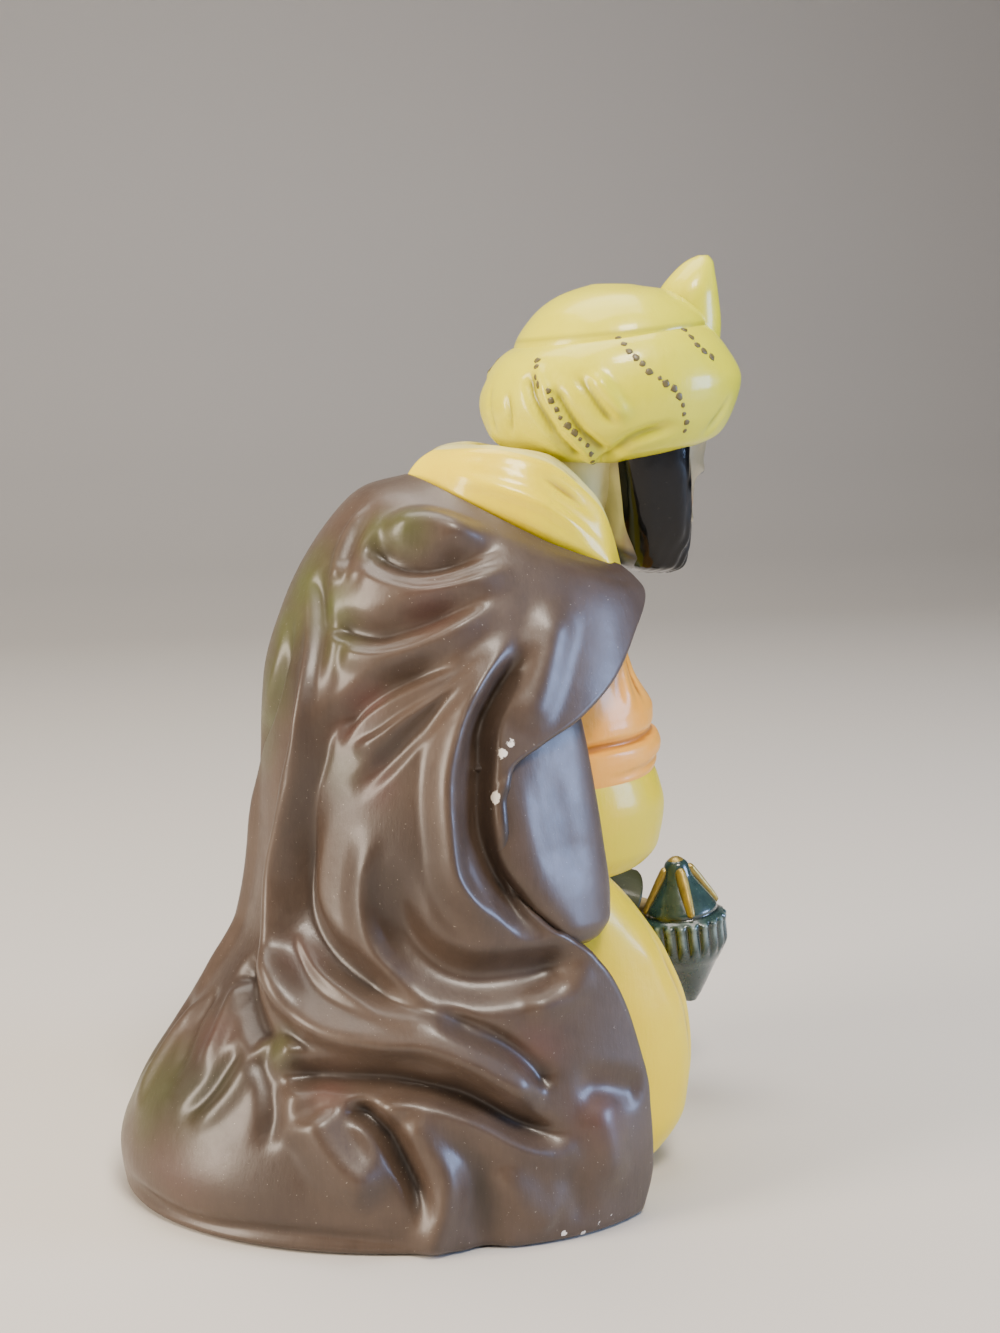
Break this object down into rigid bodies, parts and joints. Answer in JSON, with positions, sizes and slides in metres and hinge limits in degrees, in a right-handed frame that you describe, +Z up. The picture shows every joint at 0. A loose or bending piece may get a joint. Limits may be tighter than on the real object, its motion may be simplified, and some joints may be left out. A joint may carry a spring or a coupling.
{
  "type": "kneeling nativity wise man figurine",
  "caption": "Small painted plaster figure of a bowed, kneeling wise man in a turban and a long draped cloak, holding a lidded pot, for a nativity scene.",
  "frame": {"origin": "on the flat underside at floor level, on the figure's middle plane under its body", "axes": "+Z up, -Y the way the figure faces, -X the figure's right side"},
  "size_m": [0.0602, 0.0835, 0.111],
  "materials": {
    "cloak_paint": "mauve-brown paint with olive shading on cast plaster under gloss varnish",
    "robe_paint": "yellow paint on cast plaster under gloss varnish",
    "sash_paint": "peach-orange paint on cast plaster under gloss varnish",
    "turban_paint": "cream paint on cast plaster under gloss varnish",
    "beard_paint": "black gloss paint on cast plaster",
    "skin_paint": "brown flesh paint on cast plaster under gloss varnish",
    "pot_paint": "dark teal-green gloss paint on cast plaster",
    "gold_paint": "brushed-on gold paint"
  },
  "bodies": {
    "root": {"wise_man": "cloak_paint"}
  },
  "joints": []
}
